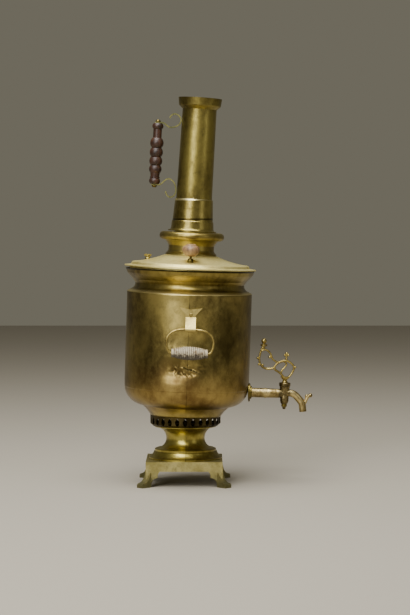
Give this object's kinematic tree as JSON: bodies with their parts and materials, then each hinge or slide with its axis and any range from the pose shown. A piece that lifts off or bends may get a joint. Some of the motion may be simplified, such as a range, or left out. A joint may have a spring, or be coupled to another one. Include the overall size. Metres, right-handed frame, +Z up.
{
  "type": "samovar",
  "caption": "Charcoal samovar: a water vessel round a fire tube, on a pierced foot, with a tap and openwork key, drop handles, lid, crown and a chimney with a wooden grip.",
  "frame": {"origin": "on the floor, under the centre of the square base", "axes": "+Z up; +X towards the tap; -Y towards the front drop handle; the chimney's grip is on the -X side"},
  "size_m": [0.3777, 0.31, 0.7722],
  "materials": {
    "vessel_brass": "aged spun brass",
    "cast_brass": "dull cast brass",
    "bright_brass": "worn bright brass",
    "tap_brass": "cast brass, handled",
    "dark_brass": "tarnished brass",
    "chimney_brass": "aged sheet brass",
    "sooty_brass": "sooted brass",
    "cast_iron": "rough casting",
    "dark_wood": "dark turned hardwood",
    "knob_wood": "worn turned wood",
    "painted_wood": "turned wood under worn pale paint"
  },
  "bodies": {
    "vessel": {"base_casting": "cast_brass", "pedestal": "vessel_brass", "gallery_ring": "vessel_brass", "body_bottom": "vessel_brass", "body_wall": "vessel_brass", "neck_ring": "vessel_brass", "fire_tube": "sooty_brass", "fire_grate": "cast_iron", "front_bracket": "bright_brass", "back_bracket": "bright_brass", "handle_rivets": "bright_brass", "tap_rose": "tap_brass", "tap_body": "tap_brass"},
    "lid": {"lid": "vessel_brass", "front_knob": "knob_wood", "front_knob_pin": "dark_brass", "back_knob": "knob_wood", "back_knob_pin": "dark_brass", "vent_pipe": "bright_brass"},
    "vent_cap": {"vent_cap": "bright_brass"},
    "crown": {"crown": "chimney_brass"},
    "chimney": {"chimney_foot": "chimney_brass", "chimney_pipe": "chimney_brass", "chimney_rim": "chimney_brass", "chimney_grip": "dark_wood", "grip_rod": "dark_brass", "upper_strip": "dark_brass", "lower_strip": "dark_brass"},
    "front_bail": {"front_bail": "bright_brass"},
    "back_bail": {"back_bail": "bright_brass"},
    "front_grip": {"front_grip": "painted_wood"},
    "back_grip": {"back_grip": "painted_wood"},
    "tap_key": {"tap_key": "tap_brass", "plug_washer": "tap_brass", "plug_tip": "tap_brass"}
  },
  "joints": [
    {"name": "lid_lift", "type": "slide", "parent": "vessel", "child": "lid", "axis": [0.0471, 0, 0.9989], "range_m": [0, 0.075]},
    {"name": "crown_lift", "type": "slide", "parent": "lid", "child": "crown", "axis": [0.0471, 0, 0.9989], "range_m": [0, 0.04]},
    {"name": "chimney_lift", "type": "slide", "parent": "crown", "child": "chimney", "axis": [0.0628, 0, 0.998], "range_m": [0, 0.035]},
    {"name": "vent_turn", "type": "hinge", "parent": "lid", "child": "vent_cap", "pos_m": [-0.07349, 0, 0.44767], "axis": [0.0471, 0, 0.9989], "range_deg": [-90, 90]},
    {"name": "front_handle_swing", "type": "hinge", "parent": "vessel", "child": "front_bail", "pos_m": [0.01295, -0.1415, 0.31524], "axis": [-0.9995, 0, 0.0332], "range_deg": [0, 110]},
    {"name": "back_handle_swing", "type": "hinge", "parent": "vessel", "child": "back_bail", "pos_m": [0.00295, 0.1415, 0.31557], "axis": [0.9995, 0, -0.0332], "range_deg": [0, 110]},
    {"name": "front_grip_spin", "type": "hinge", "parent": "front_bail", "child": "front_grip", "pos_m": [0.01142, -0.1415, 0.26926], "axis": [0.9995, 0, -0.0332], "continuous": true},
    {"name": "back_grip_spin", "type": "hinge", "parent": "back_bail", "child": "back_grip", "pos_m": [0.00143, 0.1415, 0.26959], "axis": [-0.9995, 0, 0.0332], "continuous": true},
    {"name": "tap_key_turn", "type": "hinge", "parent": "vessel", "child": "tap_key", "pos_m": [0.20128, 0, 0.20143], "axis": [0.0332, 0, 0.9995], "continuous": true}
  ]
}
